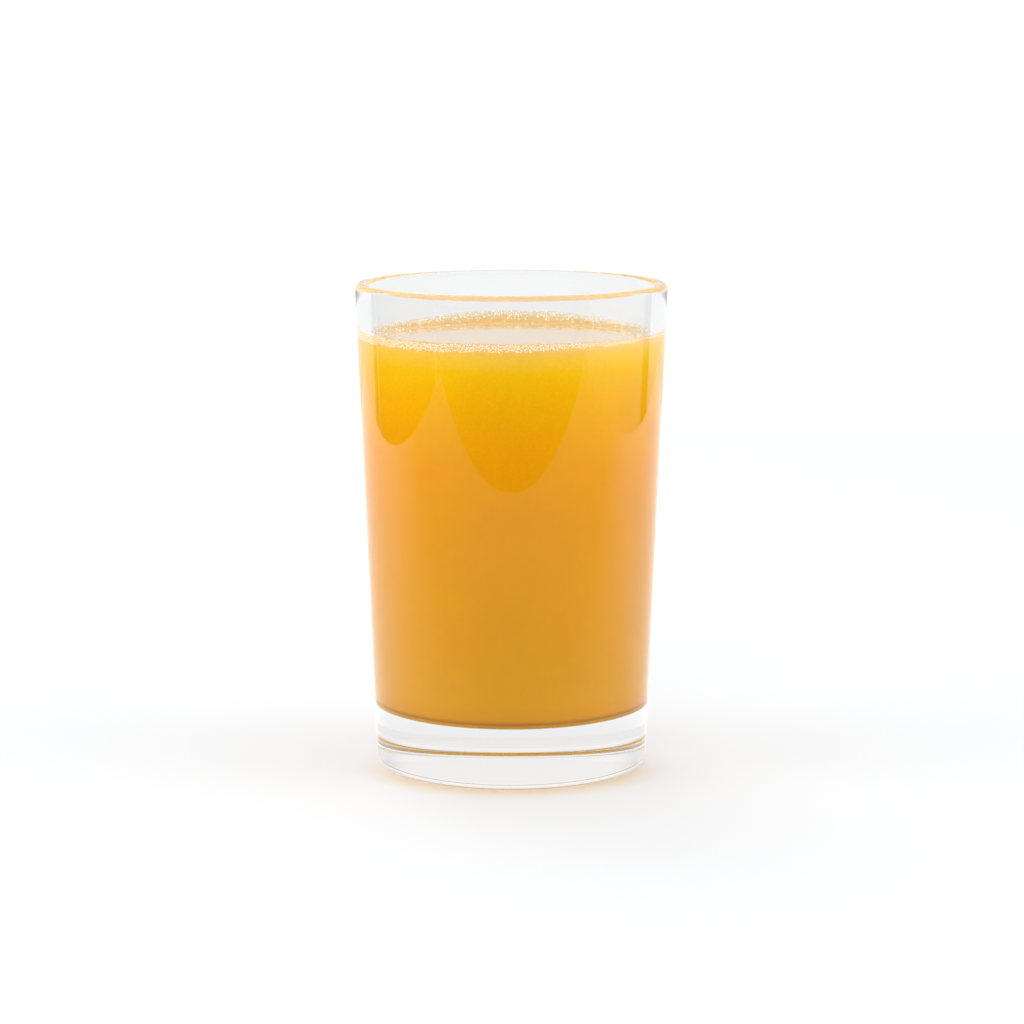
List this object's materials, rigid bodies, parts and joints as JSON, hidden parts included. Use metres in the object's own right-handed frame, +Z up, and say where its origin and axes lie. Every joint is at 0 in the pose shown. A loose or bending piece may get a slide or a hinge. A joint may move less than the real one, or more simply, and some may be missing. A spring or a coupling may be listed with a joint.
{
  "type": "glass of orange juice",
  "caption": "Slightly conical clear glass tumbler with a thick base, filled with orange juice to a little under the rim, with a ring of fine froth.",
  "frame": {"origin": "centre of the foot ring, on the surface that the glass stands on", "axes": "+Z up along the axis of the glass; -Y is the side shown to the viewer; +X is to the viewer's right"},
  "size_m": [0.0735, 0.0734, 0.115],
  "materials": {
    "clear_glass": "polished clear soda-lime glass",
    "juice": "cloudy orange liquid with a wet surface",
    "froth": "fine pale bubbles"
  },
  "bodies": {
    "root": {"glass_tumbler": "clear_glass", "orange_juice": "juice", "froth_ring": "froth"}
  },
  "joints": []
}
